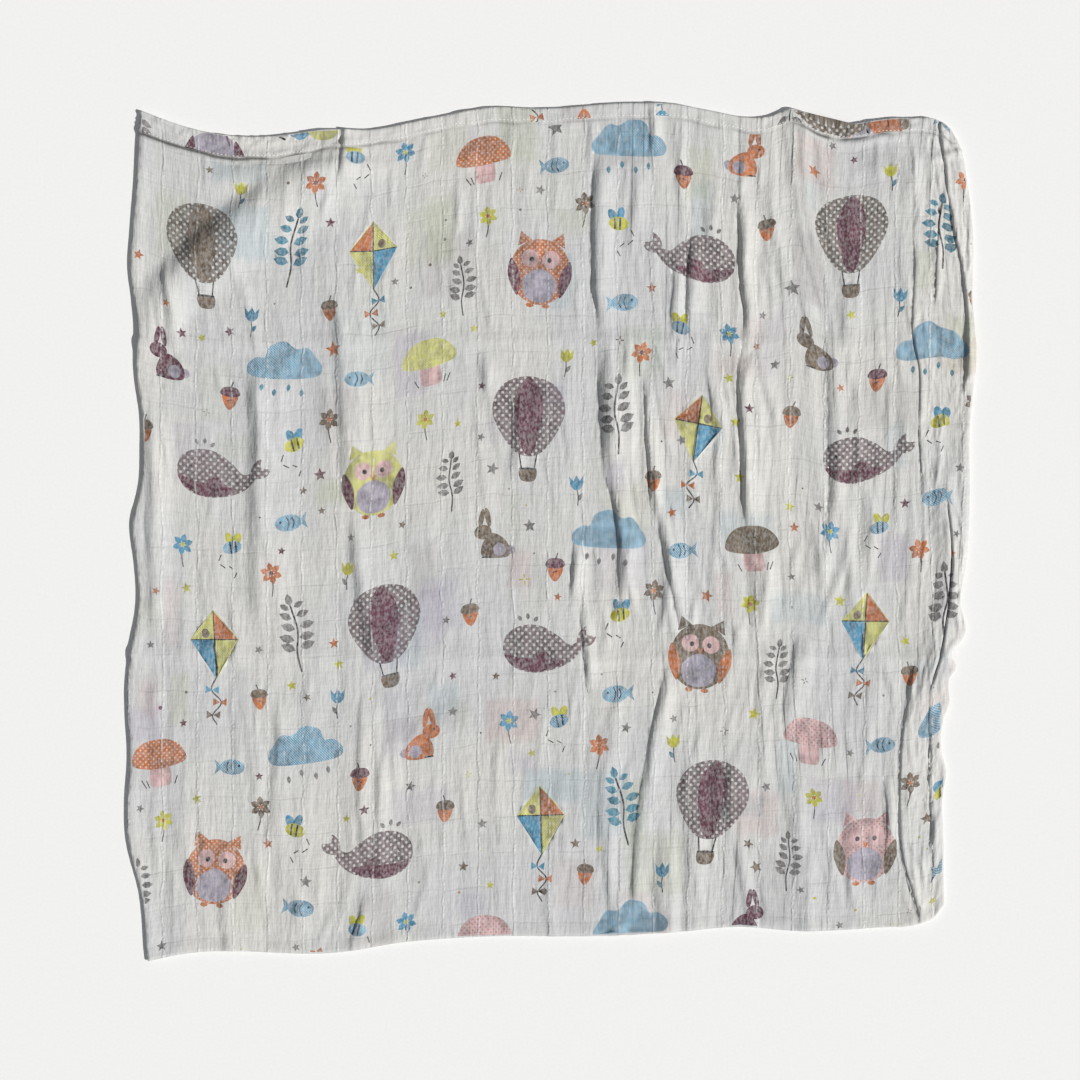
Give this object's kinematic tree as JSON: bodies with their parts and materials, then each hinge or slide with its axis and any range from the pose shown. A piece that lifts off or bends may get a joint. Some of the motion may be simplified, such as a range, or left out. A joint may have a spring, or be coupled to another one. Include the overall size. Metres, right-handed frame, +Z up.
{
  "type": "swaddle blanket",
  "caption": "Square double-muslin swaddle blanket with stitched hems and a scattered print, laid out face up with soft creases and pleats bunched along its right side.",
  "frame": {"origin": "centre of the blanket's outline, on the surface it rests on", "axes": "+X to the right side with the pleats, +Y to the far hem, +Z up out of the printed face"},
  "size_m": [1.0564, 1.0712, 0.0124],
  "materials": {
    "cotton_muslin": "soft matt crinkled double gauze with a small printed pattern"
  },
  "bodies": {
    "root": {"muslin_cloth": "cotton_muslin"}
  },
  "joints": []
}
